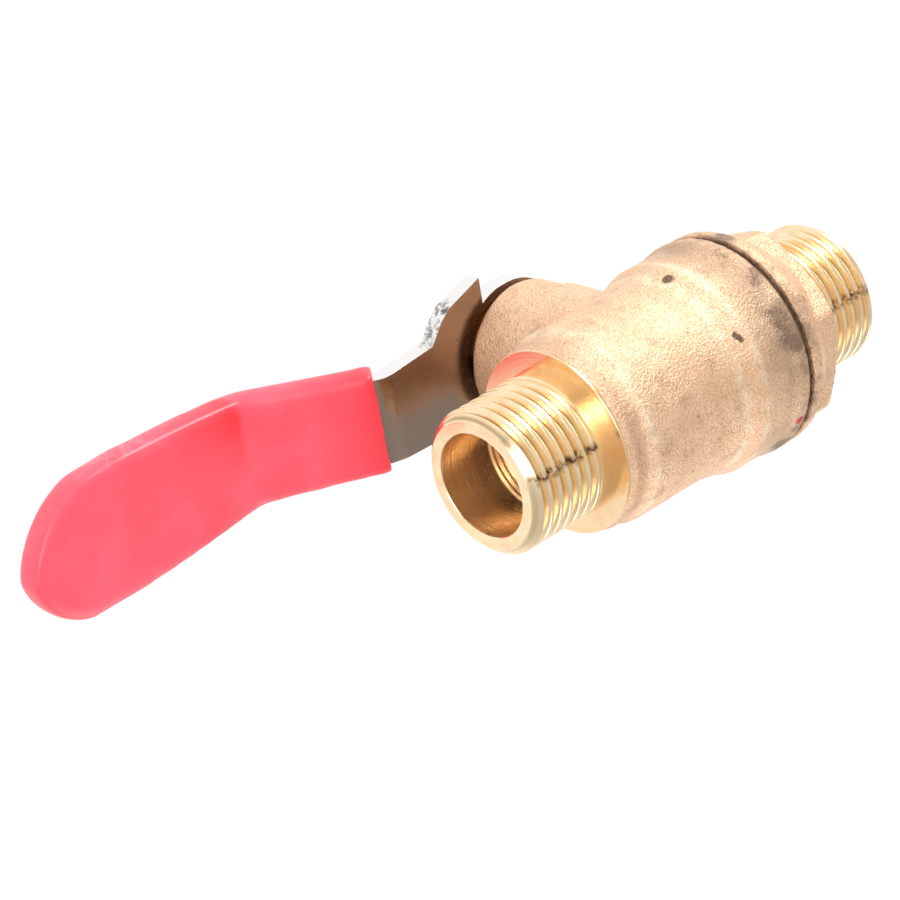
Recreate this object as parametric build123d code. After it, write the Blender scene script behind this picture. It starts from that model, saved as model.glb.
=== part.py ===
"""Small brass lever ball valve, G1/2 male on both ends.

Frame: the origin is the centre of the ball. +X runs along the flow axis to the
front port, +Z runs up the stem, and +Y is the side that the lever swings to when
it closes. All sizes are in millimetres.
"""
from build123d import *
import os
from math import cos, radians, sin, sqrt, tan

# ---------------------------------------------------------------- pipe threads
thread_major_radius = 20.955 / 2    # G1/2, the common half inch pipe thread
thread_pitch = 1.814
thread_mark_depth = 0.13            # shallow rings stand for the 1.162 mm deep helix
thread_mark_width = 0.70
thread_half_angle = 27.5            # degrees, half of the 55 degree form
thread_end_chamfer = 0.9

# ----------------------------------------------------------------- water path
waterway_radius = 6.25
mouth_radius = 7.5                  # wider turned bore inside each thread
mouth_depth = 9.0
mouth_step_length = 0.8             # the tool leaves steps between the two bores
mouth_step_count = 4

# ---------------------------------------------------------- ball, stem and seats
ball_radius = 10.0
stem_radius = 4.0
stem_collar_lip = 1.5               # the collar that keeps the stem from blowing out
stem_collar_radius = stem_radius + stem_collar_lip
stem_collar_room = 0.5              # from the collar to the seats on either side
cavity_gap = 1.2                    # room round the ball
cavity_radius = ball_radius + cavity_gap
seat_reach = 4.0                    # the seats reach this far over the ball
cavity_half_length = max(ball_radius - seat_reach, stem_collar_radius + stem_collar_room)
seat_depth = 3.4
seat_rim = 0.2                      # the seats are this much wider than the ball
seat_outer_radius = ball_radius + seat_rim
seat_bore_clearance = 0.10          # the seat's bore over the waterway
seat_running_clearance = 0.03       # ball surface to seat surface
seat_pocket_clearance = 0.05

# ------------------------------------------------------------ lengths along X
front_length = 34.0                 # ball centre to the front end face
rear_length = 35.0                  # ball centre to the rear end face
front_thread_length = 14.3          # front end face to the machined collar
front_shank_length = 1.9            # plain stretch between thread and collar
rear_thread_length = 12.2
rear_shank_length = 1.0
joint_thread_length = 8.2           # the end cap is screwed this far into the body
joint_distance = cavity_half_length + joint_thread_length

# --------------------------------------------------------------- body casting
spigot_wall = 2.15                  # of the end cap, round its seat
joint_thread_radius = seat_outer_radius + spigot_wall
joint_thread_clearance = 0.05
body_wall = 3.2
barrel_radius = cavity_radius + body_wall
neck_drop = 0.7
neck_radius = barrel_radius - neck_drop
collar_drop = 0.3
collar_radius = neck_radius - collar_drop    # machined face behind the front thread
collar_length = 1.2
neck_length = 2.2
barrel_start_chamfer = 1.6          # sloped shoulder from the neck to the barrel
barrel_length = 13.6
flare_length = 4.0                  # gentle swelling towards the joint
joint_wall = 2.75                   # round the joint thread, where the flare ends
flare_radius = joint_thread_radius + joint_wall
band_step = 0.7
band_radius = flare_radius + band_step       # thick band around the joint thread
band_step_length = 2.0
band_rim_step = 0.5
band_rim_radius = band_radius + band_rim_step
band_rim_length = 3.2
band_rim_slope = 1.2
band_edge_chamfer = 0.5

# -------------------------------------------------------------------- end cap
gasket_thickness = 0.6
gasket_play = 0.35                  # round the spigot
gasket_inner_radius = joint_thread_radius + gasket_play
gasket_inset = 0.4                  # from the band's surface
gasket_outer_radius = band_radius - gasket_inset
cap_flange_inset = 0.1
cap_flange_radius = band_rim_radius - cap_flange_inset
cap_flange_length = 1.8
cap_cone_length = 4.2
cap_cone_end_radius = 14.4
cap_core_inset = 1.0                # the turned core stays this far inside the hexagon
cap_hex_across_flats = 27.0
cap_hex_corner = 2.5
cap_hex_turn = 18.0                 # degrees about the flow axis
cap_end_chamfer_radius = 13.6
cap_end_chamfer_length = 1.2

# ------------------------------------------------------------------ stem heights
stem_clearance = 0.05
stem_collar_gap = 0.5               # over the ball
stem_collar_bottom = ball_radius + stem_collar_gap
stem_collar_height = 1.7
stem_collar_top = stem_collar_bottom + stem_collar_height
collar_pocket_clearance = 0.2
thrust_washer_thickness = 0.75
thrust_washer_clearance = 0.05
tang_thickness = 4.0                # along the flow when the valve is open
tang_half_width = 5.0
tang_depth = 2.5                    # the tang reaches this far into the ball
tang_bottom = ball_radius - tang_depth
stem_end_chamfer = 0.6
slot_side_clearance = 0.12
slot_floor_clearance = 0.3
o_ring_distance = 2.8               # above the stem's collar
o_ring_height = stem_collar_top + o_ring_distance
o_ring_section_radius = 0.58
o_ring_groove_depth = 1.2
o_ring_groove_width = 1.5
o_ring_play = 0.02                  # between the ring and the groove's floor

# ------------------------------------------------------------ packing and gland
packing_distance = 1.8              # above the O-ring
packing_floor = o_ring_height + packing_distance
packing_width = 2.5
packing_radius = stem_radius + packing_width
packing_ring_height = 1.8
packing_clearance = 0.05
follower_height = 1.2
gland_seat = packing_floor + 2 * packing_ring_height + follower_height
gland_land = 1.0                    # the gland nut is this much wider than the packing
gland_thread_radius = packing_radius + gland_land
gland_thread_length = 4.0
gland_proud = 0.8                   # above the boss
gland_slot_width = 2.4
gland_slot_depth = 1.6
gland_edge_chamfer = 0.4

# ------------------------------------------------------------------ stem boss
boss_top = gland_seat + gland_thread_length
gland_top = boss_top + gland_proud
boss_wall = 2.8                     # round the gland nut
boss_radius = gland_thread_radius + boss_wall
boss_taper = 0.7                    # the boss tapers slightly for casting
boss_foot_radius = boss_radius + boss_taper
boss_edge = 0.8
lever_gap = 0.6                     # between the gland nut and the lever
lever_bottom = gland_top + lever_gap
hub_radius = 10.0                   # of the lever, inside its stop notch
stop_lug_gap = 0.8                  # between the hub and the lug
stop_lug_near = hub_radius + stop_lug_gap    # from the stem axis, towards the rear
stop_lug_length = 3.1
stop_lug_far = stop_lug_near + stop_lug_length
stop_lug_half_width = 4.55
stop_lug_overlap = 1.4              # the lug stands this far into the lever's notch
stop_lug_top = lever_bottom + stop_lug_overlap
stop_lug_foot = 10.0
stop_lug_corner = 1.0

# ------------------------------------------------------------ lever and its nut
lever_thickness = 2.5
lever_set_angle = -2.0              # degrees, the play that the lever has taken up
lever_hole_clearance = 0.12
flats_cut = 1.2                     # taken off each side of the stem under the nut
stem_flats = 2 * (stem_radius - flats_cut)
lever_flats_clearance = 0.2         # each side, which gives the play
flats_below_plate = 0.3             # the flats end below the lever's top
stem_flats_top = lever_bottom + lever_thickness - flats_below_plate
stop_gap = 0.15                     # notch edge to stop lug at either limit
hub_flare_radius = 15.4
hub_flare_angle = 45.5              # degrees, the widest points of the hub
hub_flare_drop_x = 1.7              # from the widest point to the corner beside the arm
hub_flare_drop_y = 1.3
hub_shoulder_radius = 13.6
arm_start = 14.9                    # the arm leaves the hub here
arm_half_width = 7.0
arm_end_half_width = 6.5
first_bend = 24.2                   # on the underside of the plate
bend_angle = 37.0
handle_rise = 12.4
handle_bottom = lever_bottom + handle_rise   # underside of the raised part
handle_start_half_width = 7.2       # just past the second bend
handle_tip = 79.2
handle_waist = (-32.2, 7.85)        # distance from the tip and half width there
handle_swell = (-24.2, 8.5)
handle_palm = (-16.2, 8.85)
handle_nose = [                     # slanted tip: from the tip, y and outward direction in degrees
    (-10.1, 8.75, 75),
    (-4.4, 5.60, 45),
    (0.0, -1.15, -5),
    (-1.8, -5.20, -40),
    (-6.9, -8.80, -88),
]
bend_inner_radius = 2.0
sleeve_distance = 2.0               # open end of the sleeve from the bend, on its underside
sleeve_start = first_bend + sleeve_distance
sleeve_wall = 1.3
thread_shoulder = 1.0               # the stem's M6 end is this much thinner
thread_core_radius = stem_radius - thread_shoulder
lock_washer_rim = 2.3
lock_washer_radius = thread_core_radius + lock_washer_rim
lock_washer_thickness = 1.6
lock_washer_split = 0.8
nut_wall = 2.0                      # from the thread to the flats
nut_across_flats = 2 * (thread_core_radius + nut_wall)
nut_height = 5.0
nut_corner_cut = 0.5                # taken off the corners on the top face
nut_thread_clearance = 0.05
stem_thread_beyond_nut = 1.4

UP_FROM_ZERO = (Align.CENTER, Align.CENTER, Align.MIN)


def section(points):
    """A flat face in the XZ plane that looks along -Y, whichever way its points run."""
    face = Face(Wire.make_polygon([Vector(x, 0, z) for x, z in points], close=True))
    return -face if face.normal_at().Y > 0 else face


def turned(outline):
    """A solid turned about the X axis from (x, radius) points."""
    return revolve(section(outline), axis=Axis.X)


def turned_upright(outline):
    """A solid turned about the Z axis from (radius, z) points."""
    return revolve(section(outline), axis=Axis.Z)


def ring_upright(inner, outer, bottom, height):
    outline = [(inner, bottom), (outer, bottom), (outer, bottom + height), (inner, bottom + height)]
    return turned_upright(outline)


def hexagon(across_flats, corner, height):
    """A hexagonal prism standing on z = 0 with its corners rounded."""
    outline = RegularPolygon(across_flats / 2, 6, major_radius=False)
    if corner > 0:
        outline = fillet(outline.vertices(), corner)
    return extrude(outline, height)


def thread_points(tip, start, direction):
    """Thread profile from its tip back to its start, as shallow rings of the real pitch."""
    flank = thread_mark_depth * tan(radians(thread_half_angle))
    root = thread_major_radius - thread_mark_depth
    groove_half = thread_mark_width / 2 + flank
    points = [(tip, thread_major_radius - thread_end_chamfer)]
    points.append((tip - direction * thread_end_chamfer, thread_major_radius))
    groove = tip - direction * (thread_end_chamfer + 0.5 * thread_pitch)
    while direction * (groove - start) > groove_half:
        points.append((groove + direction * groove_half, thread_major_radius))
        points.append((groove + direction * thread_mark_width / 2, root))
        points.append((groove - direction * thread_mark_width / 2, root))
        points.append((groove - direction * groove_half, thread_major_radius))
        groove -= direction * thread_pitch
    return points


def mouth_points(tip, direction):
    """The wide mouth bore and the steps down to the waterway, from inside to the tip."""
    step = (mouth_radius - waterway_radius) / (mouth_step_count + 1)
    bottom = tip - direction * mouth_depth
    points = []
    for index in range(mouth_step_count, 0, -1):
        radius = mouth_radius - index * step
        deep = bottom - direction * mouth_step_length * index
        shallow = bottom - direction * mouth_step_length * (index - 1)
        points += [(deep, radius), (shallow, radius)]
    points += [(bottom, mouth_radius), (tip, mouth_radius)]
    first = points[0][0]
    return [(first, waterway_radius)] + points


def body_outline():
    """Half section of the body casting, machined inside and out."""
    collar = front_length - front_thread_length
    neck = collar - collar_length
    shoulder = neck - neck_length
    barrel = shoulder - barrel_start_chamfer
    flare = barrel - barrel_length
    band = flare - flare_length
    rim = -joint_distance + band_rim_length
    seat_end = cavity_half_length + seat_depth
    pocket = seat_outer_radius + seat_pocket_clearance
    opening = joint_thread_radius + joint_thread_clearance
    points = thread_points(front_length, collar + front_shank_length, 1)
    points += [(collar, thread_major_radius), (collar, collar_radius)]
    points += [(neck, collar_radius), (neck, neck_radius), (shoulder, neck_radius)]
    points += [(barrel, barrel_radius), (flare, barrel_radius), (band, flare_radius)]
    points += [(band - band_step_length, band_radius), (rim, band_radius)]
    points += [(rim - band_rim_slope, band_rim_radius)]
    points += [(-joint_distance + band_edge_chamfer, band_rim_radius)]
    points += [(-joint_distance, band_rim_radius - band_edge_chamfer), (-joint_distance, opening)]
    points += [(-cavity_half_length, opening), (-cavity_half_length, cavity_radius)]
    points += [(cavity_half_length, cavity_radius), (cavity_half_length, pocket)]
    points += [(seat_end, pocket), (seat_end, waterway_radius)]
    return points + mouth_points(front_length, 1)


def make_stop_lug():
    """The cast post behind the boss that the lever's notch swings against."""
    length = stop_lug_far - stop_lug_near
    lug = Box(length, 2 * stop_lug_half_width, stop_lug_top - stop_lug_foot, align=UP_FROM_ZERO)
    lug = fillet(lug.edges().filter_by(Axis.Z), stop_lug_corner)
    web_top = boss_top - 2 * boss_edge
    web = Box(stop_lug_near, stop_lug_half_width, web_top - stop_lug_foot,
              align=(Align.MAX, Align.CENTER, Align.MIN))
    middle = -(stop_lug_near + stop_lug_far) / 2
    return lug.moved(Location((middle, 0, stop_lug_foot))) + web.moved(Location((0, 0, stop_lug_foot)))


def make_valve_body():
    """Cast body: front thread, barrel, joint band, stem boss and stop lug in one piece."""
    boss = Cone(boss_foot_radius, boss_radius, boss_top, align=UP_FROM_ZERO)
    boss = fillet(boss.edges().group_by(Axis.Z)[-1], boss_edge)
    shell = turned(body_outline()) + boss + make_stop_lug()
    inside = Cylinder(cavity_radius, 2 * cavity_half_length, rotation=(0, 90, 0))
    rear_room = Cylinder(joint_thread_radius + joint_thread_clearance,
                         joint_distance - cavity_half_length, rotation=(0, 90, 0))
    rear_room = rear_room.moved(Location((-(joint_distance + cavity_half_length) / 2, 0, 0)))
    pocket_length = seat_depth
    pocket = Cylinder(seat_outer_radius + seat_pocket_clearance, pocket_length, rotation=(0, 90, 0))
    pocket = pocket.moved(Location((cavity_half_length + pocket_length / 2, 0, 0)))
    bore_length = front_length - cavity_half_length - mouth_depth
    bore = Cylinder(waterway_radius, bore_length, rotation=(0, 90, 0))
    bore = bore.moved(Location((cavity_half_length + bore_length / 2, 0, 0)))
    shell = shell - inside - rear_room - pocket - bore
    collar_pocket = Cylinder(stem_collar_radius + collar_pocket_clearance,
                             thrust_floor(), align=UP_FROM_ZERO)
    stem_hole = Cylinder(stem_radius + stem_clearance, boss_top, align=UP_FROM_ZERO)
    chamber = Cylinder(packing_radius + packing_clearance, boss_top - packing_floor, align=UP_FROM_ZERO)
    gland = Cylinder(gland_thread_radius, boss_top - gland_seat, align=UP_FROM_ZERO)
    shell -= collar_pocket + stem_hole
    shell -= chamber.moved(Location((0, 0, packing_floor)))
    return shell - gland.moved(Location((0, 0, gland_seat)))


def thrust_floor():
    """Underside of the boss inside the body, where the thrust washer bears."""
    return stem_collar_top + thrust_washer_thickness + 2 * thrust_washer_clearance


def make_end_cap():
    """Screwed end: spigot with the rear seat, round flange, cast hexagon, rear thread."""
    front = -joint_distance - gasket_thickness
    flange = front - cap_flange_length
    cone = flange - cap_cone_length
    core_radius = cap_cone_end_radius - cap_core_inset
    hex_end = -rear_length + rear_thread_length
    seat_end = -(cavity_half_length + seat_depth)
    pocket = seat_outer_radius + seat_pocket_clearance
    outline = [(-cavity_half_length, pocket), (-cavity_half_length, joint_thread_radius)]
    outline += [(front, joint_thread_radius), (front, cap_flange_radius)]
    outline += [(flange, cap_flange_radius), (cone, core_radius)]
    outline += [(hex_end, core_radius), (hex_end, thread_major_radius)]
    thread = thread_points(-rear_length, hex_end - rear_shank_length, -1)
    outline += list(reversed(thread))
    outline += [(x, radius) for x, radius in reversed(mouth_points(-rear_length, -1))]
    outline += [(seat_end, waterway_radius), (seat_end, pocket)]
    return turned(outline) + make_cap_hexagon(front, flange, hex_end)


def make_cap_hexagon(front, flange, hex_end):
    """The cast hexagon, cut back by the flange's cone and a turned end chamfer."""
    corner_radius = cap_hex_across_flats / 2 / cos(radians(30))
    prism = hexagon(cap_hex_across_flats, cap_hex_corner, front - hex_end)
    prism = prism.rotate(Axis.Z, cap_hex_turn).rotate(Axis.Y, 90).moved(Location((hex_end, 0, 0)))
    slope = (cap_flange_radius - cap_cone_end_radius) / cap_cone_length
    limit = [(front, 0), (front, cap_flange_radius), (flange, cap_flange_radius)]
    limit += [(flange - (cap_flange_radius - corner_radius) / slope, corner_radius)]
    limit += [(hex_end + cap_end_chamfer_length, corner_radius)]
    limit += [(hex_end, cap_end_chamfer_radius), (hex_end, 0)]
    core = Cylinder(thread_major_radius, front - hex_end, rotation=(0, 90, 0))
    core = core.moved(Location(((front + hex_end) / 2, 0, 0)))
    return (prism & turned(limit)) - core


def make_body_gasket():
    outline = [(-joint_distance, gasket_inner_radius), (-joint_distance, gasket_outer_radius)]
    outline += [(-joint_distance - gasket_thickness, gasket_outer_radius)]
    outline += [(-joint_distance - gasket_thickness, gasket_inner_radius)]
    return turned(outline)


def make_ball():
    """Ball with its through bore, and the slot that the stem's tang drives."""
    bore = Cylinder(waterway_radius, 2 * ball_radius, rotation=(0, 90, 0))
    slot_floor = tang_bottom - slot_floor_clearance
    slot = Box(tang_thickness + 2 * slot_side_clearance, 2 * ball_radius, ball_radius, align=UP_FROM_ZERO)
    return Sphere(ball_radius) - bore - slot.moved(Location((0, 0, slot_floor)))


def make_seat(side):
    """Seat ring with a hollow face that carries the ball."""
    near = cavity_half_length
    far = near + seat_depth
    bore = waterway_radius + seat_bore_clearance
    hollow = ball_radius + seat_running_clearance
    lip = (side * sqrt(hollow ** 2 - bore ** 2), 0, bore)
    brim = (side * near, 0, sqrt(hollow ** 2 - near ** 2))
    middle = hollow / sqrt(2)
    back = Polyline(brim, (side * near, 0, seat_outer_radius), (side * far, 0, seat_outer_radius),
                    (side * far, 0, bore), lip)
    face = make_face(Curve() + [back, ThreePointArc(lip, (side * middle, 0, middle), brim)])
    return revolve(face, axis=Axis.X)


def make_stem():
    """Stem put in from inside: tang, blow-out collar, O-ring groove, flats and thread."""
    top = stem_top()
    shoulder = lever_bottom
    groove_low = o_ring_height - o_ring_groove_width / 2
    groove_high = o_ring_height + o_ring_groove_width / 2
    groove_radius = stem_radius - o_ring_groove_depth
    outline = [(0, stem_collar_bottom), (stem_collar_radius, stem_collar_bottom)]
    outline += [(stem_collar_radius, stem_collar_top), (stem_radius, stem_collar_top)]
    outline += [(stem_radius, groove_low), (groove_radius, groove_low)]
    outline += [(groove_radius, groove_high), (stem_radius, groove_high)]
    outline += [(stem_radius, stem_flats_top), (thread_core_radius, stem_flats_top)]
    outline += [(thread_core_radius, top - stem_end_chamfer)]
    outline += [(thread_core_radius - stem_end_chamfer, top), (0, top)]
    stem = turned_upright(outline)
    side = Box(2 * stem_radius, stem_radius, stem_flats_top - shoulder,
               align=(Align.CENTER, Align.MIN, Align.MIN))
    for turn in (0, 180):
        stem -= side.moved(Location((0, stem_flats / 2, shoulder))).rotate(Axis.Z, turn)
    tang = Box(tang_thickness, 2 * tang_half_width, stem_collar_bottom - tang_bottom, align=UP_FROM_ZERO)
    tang &= Cylinder(tang_half_width, stem_collar_bottom, align=UP_FROM_ZERO)
    return stem + tang.moved(Location((0, 0, tang_bottom)))


def stem_top():
    return lever_bottom + lever_thickness + lock_washer_thickness + nut_height + stem_thread_beyond_nut


def make_thrust_washer():
    bottom = stem_collar_top + thrust_washer_clearance
    inner = stem_radius + packing_clearance
    return ring_upright(inner, stem_collar_radius, bottom, thrust_washer_thickness)


def make_o_ring():
    centre = stem_radius - o_ring_groove_depth + o_ring_section_radius + o_ring_play
    ring = Torus(centre, o_ring_section_radius)
    return ring.moved(Location((0, 0, o_ring_height)))


def make_packing_ring(number):
    bottom = packing_floor + number * packing_ring_height
    return ring_upright(stem_radius + packing_clearance, packing_radius, bottom, packing_ring_height)


def make_packing_follower():
    bottom = packing_floor + 2 * packing_ring_height
    return ring_upright(stem_radius + packing_clearance, packing_radius, bottom, follower_height)


def make_gland_nut():
    """Threaded ring that presses the packing, with two slots for a pin key."""
    inner = stem_radius + 2 * packing_clearance
    outer = gland_thread_radius - packing_clearance
    nut = ring_upright(inner, outer, gland_seat, gland_top - gland_seat)
    nut = chamfer(nut.edges().group_by(Axis.Z)[-1].sort_by(SortBy.RADIUS)[-1], gland_edge_chamfer)
    slot = Box(2 * outer, gland_slot_width, gland_slot_depth, align=UP_FROM_ZERO)
    return nut - slot.moved(Location((0, 0, gland_top - gland_slot_depth)))


def lever_path():
    """Underside of the bent lever plate in the XZ plane, from the rear of the hub to the tip."""
    second_bend = first_bend + (handle_bottom - lever_bottom) / tan(radians(bend_angle))
    path = [(-hub_flare_radius, lever_bottom), (first_bend, lever_bottom)]
    return path + [(second_bend, handle_bottom), (handle_tip + sleeve_wall, handle_bottom)]


def bent_strip(below, above, half_width):
    """The bent plate's side profile, grown below and above, and extruded across."""
    path = lever_path()
    mitre = tan(radians(bend_angle / 2))
    low = [(path[0][0], path[0][1] - below), (path[1][0] + below * mitre, path[1][1] - below)]
    low += [(path[2][0] + below * mitre, path[2][1] - below), (path[3][0], path[3][1] - below)]
    high = [(path[0][0], path[0][1] + above), (path[1][0] - above * mitre, path[1][1] + above)]
    high += [(path[2][0] - above * mitre, path[2][1] + above), (path[3][0], path[3][1] + above)]
    outer_radius = bend_inner_radius + lever_thickness
    low_radii = [outer_radius + below, bend_inner_radius - min(below, bend_inner_radius / 2)]
    high_radii = [bend_inner_radius - min(above - lever_thickness, bend_inner_radius / 2)]
    high_radii += [outer_radius + above - lever_thickness]
    low_line = FilletPolyline(*[(x, 0, z) for x, z in low], radius=low_radii)
    high_line = FilletPolyline(*[(x, 0, z) for x, z in high], radius=high_radii)
    ends = [Line((low[index][0], 0, low[index][1]), (high[index][0], 0, high[index][1])) for index in (0, 3)]
    profile = make_face(Curve() + [low_line, high_line] + ends)
    return extrude(profile, half_width, both=True)


def handle_plan(grow):
    """Plan outline of arm and handle, grown sideways by the sleeve wall where needed."""
    bend = first_bend + (handle_bottom - lever_bottom) / tan(radians(bend_angle))
    widths = [(0, arm_half_width), (arm_start, arm_half_width), (first_bend, arm_end_half_width)]
    widths += [(bend, handle_start_half_width)]
    widths += [(handle_tip + back, half) for back, half in (handle_waist, handle_swell, handle_palm)]
    nose = [(handle_tip + back + grow * cos(radians(turn)), y + grow * sin(radians(turn)))
            for back, y, turn in handle_nose]
    upper = [(x, half + grow) for x, half in widths] + [nose[0]]
    lower = [(x, -half - grow) for x, half in widths] + [nose[4]]
    lines = [Polyline(*upper), Polyline(*lower), Line(upper[0], lower[0])]
    lines += [ThreePointArc(*nose[:3]), ThreePointArc(*nose[2:])]
    return make_face(Curve() + lines)


def hub_plan():
    """Plan outline of the hub with its two flared shoulders."""
    flare_x = hub_flare_radius * cos(radians(hub_flare_angle))
    flare_y = hub_flare_radius * sin(radians(hub_flare_angle))
    shoulder_y = sqrt(hub_shoulder_radius ** 2 - shoulder_x() ** 2)
    upper = [(arm_start, arm_half_width), (flare_x + hub_flare_drop_x, flare_y - hub_flare_drop_y)]
    upper += [(flare_x, flare_y), (shoulder_x(), shoulder_y)]
    lower = [(x, -y) for x, y in upper]
    back = (-hub_shoulder_radius, 0)
    lines = [Polyline(*upper), Polyline(*lower), Line(upper[0], lower[0])]
    lines += [ThreePointArc(upper[-1], back, lower[-1])]
    return make_face(Curve() + lines)


def shoulder_x():
    """The notch's closing edge stands this far in front of the stem axis."""
    return stop_lug_half_width + stop_gap


def stop_notch():
    """Room for the stop lug over the whole quarter turn, seen from above."""
    reach = hub_flare_radius + hub_radius
    quarter = Rectangle(reach + shoulder_x(), reach + shoulder_x())
    middle = (shoulder_x() - reach) / 2
    quarter = quarter.moved(Location((middle, -middle, 0)))
    return quarter - Circle(hub_radius)


def make_lever():
    """Pressed steel lever: hub with its stop notch, arm bent up to the raised handle."""
    tall = handle_bottom + 2 * lever_thickness
    plan = extrude(handle_plan(0) + hub_plan() + Circle(hub_radius), tall)
    plate = bent_strip(0, lever_thickness, hub_flare_radius + hub_radius) & plan
    hole = Cylinder(stem_radius + lever_hole_clearance, tall, align=UP_FROM_ZERO)
    hole &= Box(tall, stem_flats + 2 * lever_flats_clearance, tall, align=UP_FROM_ZERO)
    plate = (plate - hole).rotate(Axis.Z, lever_set_angle)
    return plate - extrude(stop_notch(), tall)


def make_lever_sleeve():
    """Dipped vinyl grip around the raised part, with the steel plate left out of it."""
    tall = handle_bottom + 3 * lever_thickness
    reach = handle_palm[1] + 2 * sleeve_wall
    skin = bent_strip(sleeve_wall, lever_thickness + sleeve_wall, reach)
    skin &= extrude(handle_plan(sleeve_wall), tall)
    rise = (sleeve_start - first_bend) * tan(radians(bend_angle))
    edge = lever_bottom + rise - sleeve_wall / cos(radians(bend_angle))
    bare = Box(2 * sleeve_start, 2 * reach, 2 * tall, align=(Align.MAX, Align.CENTER, Align.CENTER))
    bare = bare.rotate(Axis.Y, -bend_angle).moved(Location((sleeve_start, 0, edge)))
    core = bent_strip(0, lever_thickness, reach) & extrude(handle_plan(0), tall)
    return (skin - bare - core).rotate(Axis.Z, lever_set_angle)


def make_lock_washer():
    bottom = lever_bottom + lever_thickness
    ring = ring_upright(thread_core_radius + 2 * nut_thread_clearance, lock_washer_radius,
                        bottom, lock_washer_thickness)
    split = Box(2 * lock_washer_radius, lock_washer_split, 2 * lock_washer_thickness,
                align=(Align.MIN, Align.CENTER, Align.MIN))
    return ring - split.moved(Location((0, 0, bottom - lock_washer_thickness / 2)))


def make_lever_nut():
    bottom = lever_bottom + lever_thickness + lock_washer_thickness
    corner_radius = nut_across_flats / 2 / cos(radians(30))
    rounding = Cone(corner_radius + nut_height * sqrt(3), corner_radius - nut_corner_cut, nut_height,
                    align=UP_FROM_ZERO)
    nut = hexagon(nut_across_flats, 0, nut_height) & rounding
    nut -= Cylinder(thread_core_radius + nut_thread_clearance, nut_height, align=UP_FROM_ZERO)
    return nut.moved(Location((0, 0, bottom)))


def main():
    pieces = {
        "valve_body": make_valve_body(),
        "end_cap": make_end_cap(),
        "body_gasket": make_body_gasket(),
        "ball": make_ball(),
        "seat_front": make_seat(1),
        "seat_rear": make_seat(-1),
        "stem": make_stem(),
        "thrust_washer": make_thrust_washer(),
        "stem_o_ring": make_o_ring(),
        "packing_lower": make_packing_ring(0),
        "packing_upper": make_packing_ring(1),
        "packing_follower": make_packing_follower(),
        "gland_nut": make_gland_nut(),
        "lever": make_lever(),
        "lever_sleeve": make_lever_sleeve(),
        "lock_washer": make_lock_washer(),
        "lever_nut": make_lever_nut(),
    }
    os.makedirs("parts", exist_ok=True)
    for name, piece in pieces.items():
        export_step(piece, f"parts/{name}.step")


main()
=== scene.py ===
# %% [markdown]
# A small brass ball valve with a red lever.
# The CAD frame already holds every piece at its real size. This lesson gives the
# visible ones the surface that the real valve has: a sand cast skin, helical pipe
# threads, a plated lever with pressed edges and a soft dipped grip.

# %% Load the frame
import math

import bpy
from mathutils import Matrix, Vector


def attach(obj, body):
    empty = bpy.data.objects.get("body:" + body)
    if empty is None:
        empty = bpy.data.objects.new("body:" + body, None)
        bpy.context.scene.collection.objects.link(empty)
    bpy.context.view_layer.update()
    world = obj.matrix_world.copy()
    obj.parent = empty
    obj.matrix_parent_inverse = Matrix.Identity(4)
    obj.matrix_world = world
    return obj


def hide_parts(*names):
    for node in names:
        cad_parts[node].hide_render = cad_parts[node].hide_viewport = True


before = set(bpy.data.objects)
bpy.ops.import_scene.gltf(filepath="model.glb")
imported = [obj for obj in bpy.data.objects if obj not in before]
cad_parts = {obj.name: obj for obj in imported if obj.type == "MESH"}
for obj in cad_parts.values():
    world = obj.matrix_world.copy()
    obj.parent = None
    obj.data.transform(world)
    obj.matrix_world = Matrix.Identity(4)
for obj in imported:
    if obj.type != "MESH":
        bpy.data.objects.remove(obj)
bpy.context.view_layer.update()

MM = 0.001

# %% [markdown]
# The valve is seen from below and in front, with a long lens. A long lens keeps
# the parallel edges of the lever nearly parallel. The camera could be aimed with a
# constraint, but three axes written down say exactly how it is turned.

# %% Camera
camera_place = Vector((0.3403, 0.2279, -0.3529))
camera_right = Vector((-0.70312, -0.14948, -0.69518))
camera_up = Vector((-0.40085, 0.89083, 0.21387))
camera_back = Vector((0.58732, 0.42904, -0.68628))
camera_data = bpy.data.cameras.new("camera")
camera_data.lens = 157.8
camera_data.sensor_width = 36
camera_data.clip_start = 0.01
camera = bpy.data.objects.new("camera", camera_data)
turn = Matrix((camera_right, camera_up, camera_back)).transposed().to_4x4()
camera.matrix_world = Matrix.Translation(camera_place) @ turn
bpy.context.scene.collection.objects.link(camera)
bpy.context.scene.camera = camera
bpy.context.scene.view_settings.view_transform = "Standard"
print("camera", camera_place.length, "m from the ball")

# %% [markdown]
# Colours are picked as sRGB hex values, as in any paint program. Blender mixes
# light with linear values, so one function turns the hex value to linear. Another
# adds a node of any kind with its settings and links, which by hand takes a line each.

# %% Colour and node helpers
def colour(hex_value):
    """Linear RGBA from an sRGB value such as F0C070."""
    parts = [int(hex_value[index:index + 2], 16) / 255 for index in (0, 2, 4)]
    linear = [part / 12.92 if part <= 0.04045 else ((part + 0.055) / 1.055) ** 2.4
              for part in parts]
    return (*linear, 1.0)


def add_node(tree, kind, inputs=None, output=0, **settings):
    """Adds one node and gives one of its outputs. An input is a value, a hex colour
    or the output of another node."""
    node = tree.nodes.new("ShaderNode" + kind)
    for name, value in settings.items():
        setattr(node, name, value)
    for name, value in (inputs or {}).items():
        if isinstance(value, bpy.types.NodeSocket):
            tree.links.new(value, node.inputs[name])
        else:
            node.inputs[name].default_value = colour(value) if isinstance(value, str) else value
    return node.outputs[output]


def per_mm(size):
    """Texture scale for a pattern of this size in millimetres."""
    return 1 / (size * MM)


print("mid grey 808080 is", round(colour("808080")[0], 3), "in linear light")

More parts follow.
